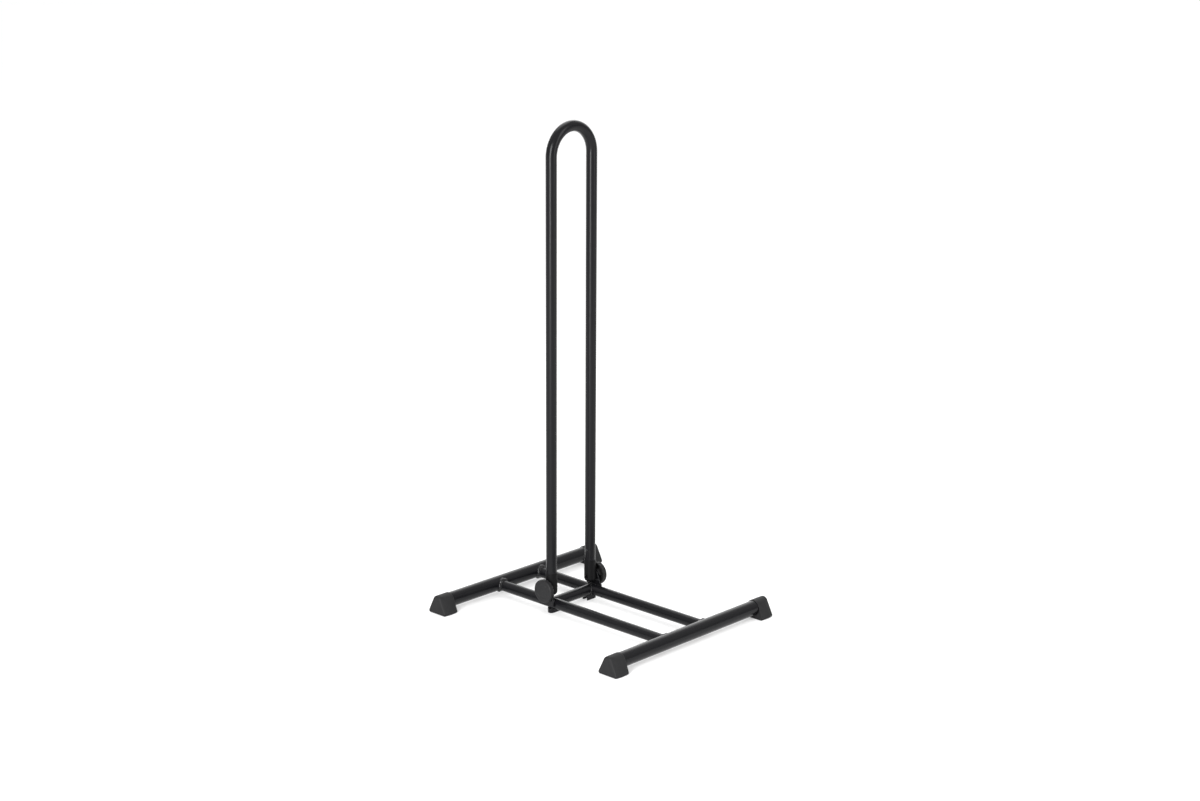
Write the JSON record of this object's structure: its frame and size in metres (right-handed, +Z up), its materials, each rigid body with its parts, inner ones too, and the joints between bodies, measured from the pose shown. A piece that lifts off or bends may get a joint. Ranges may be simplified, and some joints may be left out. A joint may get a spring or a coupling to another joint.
{
  "type": "floor bike rack",
  "caption": "Floor stand that holds a bicycle by one wheel: a welded tube base on rubber end feet and a tall fold-down hoop locked by side knobs.",
  "frame": {"origin": "on the floor, midway between the two cross tubes and midway between the hoop's legs", "axes": "+Z up, +X to the right along the cross tubes, +Y to the rear along the rails, from the long wheel bay towards the hinge"},
  "size_m": [0.3384, 0.3818, 0.726],
  "materials": {
    "powder_coated_steel": "satin black powder coat",
    "coated_weld": "black powder coat over a weld bead",
    "foot_rubber": "matte moulded rubber",
    "black_nylon": "matte moulded nylon",
    "knob_plastic": "matte moulded plastic",
    "black_steel": "black oxide",
    "plated_steel": "zinc plated"
  },
  "bodies": {
    "base": {"front_cross_tube": "powder_coated_steel", "rear_cross_tube": "powder_coated_steel", "left_rail": "powder_coated_steel", "right_rail": "powder_coated_steel", "hinge_crossbar": "powder_coated_steel", "front_rail_welds": "coated_weld", "rear_rail_welds": "coated_weld", "crossbar_welds": "coated_weld", "ear_welds": "coated_weld", "left_hinge_ear": "powder_coated_steel", "right_hinge_ear": "powder_coated_steel", "left_middle_foot": "powder_coated_steel", "right_middle_foot": "powder_coated_steel", "front_left_cap": "foot_rubber", "front_right_cap": "foot_rubber", "rear_left_cap": "foot_rubber", "rear_right_cap": "foot_rubber"},
    "hoop": {"hoop_tube": "powder_coated_steel", "left_leg_end": "black_nylon", "right_leg_end": "black_nylon", "left_leg_rivet": "black_steel", "right_leg_rivet": "black_steel", "left_pivot_bolt": "black_steel", "right_pivot_bolt": "black_steel", "left_hinge_washer": "black_nylon", "right_hinge_washer": "black_nylon"},
    "left_washer": {"left_knob_washer": "plated_steel"},
    "left_knob": {"left_knob": "knob_plastic", "left_knob_nut": "plated_steel"},
    "right_washer": {"right_knob_washer": "plated_steel"},
    "right_knob": {"right_knob": "knob_plastic", "right_knob_nut": "plated_steel"}
  },
  "joints": [
    {"name": "hoop_fold", "type": "hinge", "parent": "base", "child": "hoop", "pos_m": [0, 0.0607, 0.0355], "axis": [1, 0, 0], "range_deg": [-89, 89]},
    {"name": "left_knob_travel", "type": "slide", "parent": "hoop", "child": "left_washer", "axis": [-1, 0, 0], "range_m": [0, 0.002]},
    {"name": "left_knob_turn", "type": "hinge", "parent": "left_washer", "child": "left_knob", "pos_m": [-0.0565, 0.0607, 0.0355], "axis": [-1, 0, 0], "range_deg": [0, 720]},
    {"name": "right_knob_travel", "type": "slide", "parent": "hoop", "child": "right_washer", "axis": [1, 0, 0], "range_m": [0, 0.002]},
    {"name": "right_knob_turn", "type": "hinge", "parent": "right_washer", "child": "right_knob", "pos_m": [0.0565, 0.0607, 0.0355], "axis": [1, 0, 0], "range_deg": [0, 720]}
  ],
  "couplings": [
    {"joint": "left_knob_travel", "follows": "left_knob_turn", "m_per_rad": 0.00015915},
    {"joint": "right_knob_travel", "follows": "right_knob_turn", "m_per_rad": 0.00015915}
  ]
}
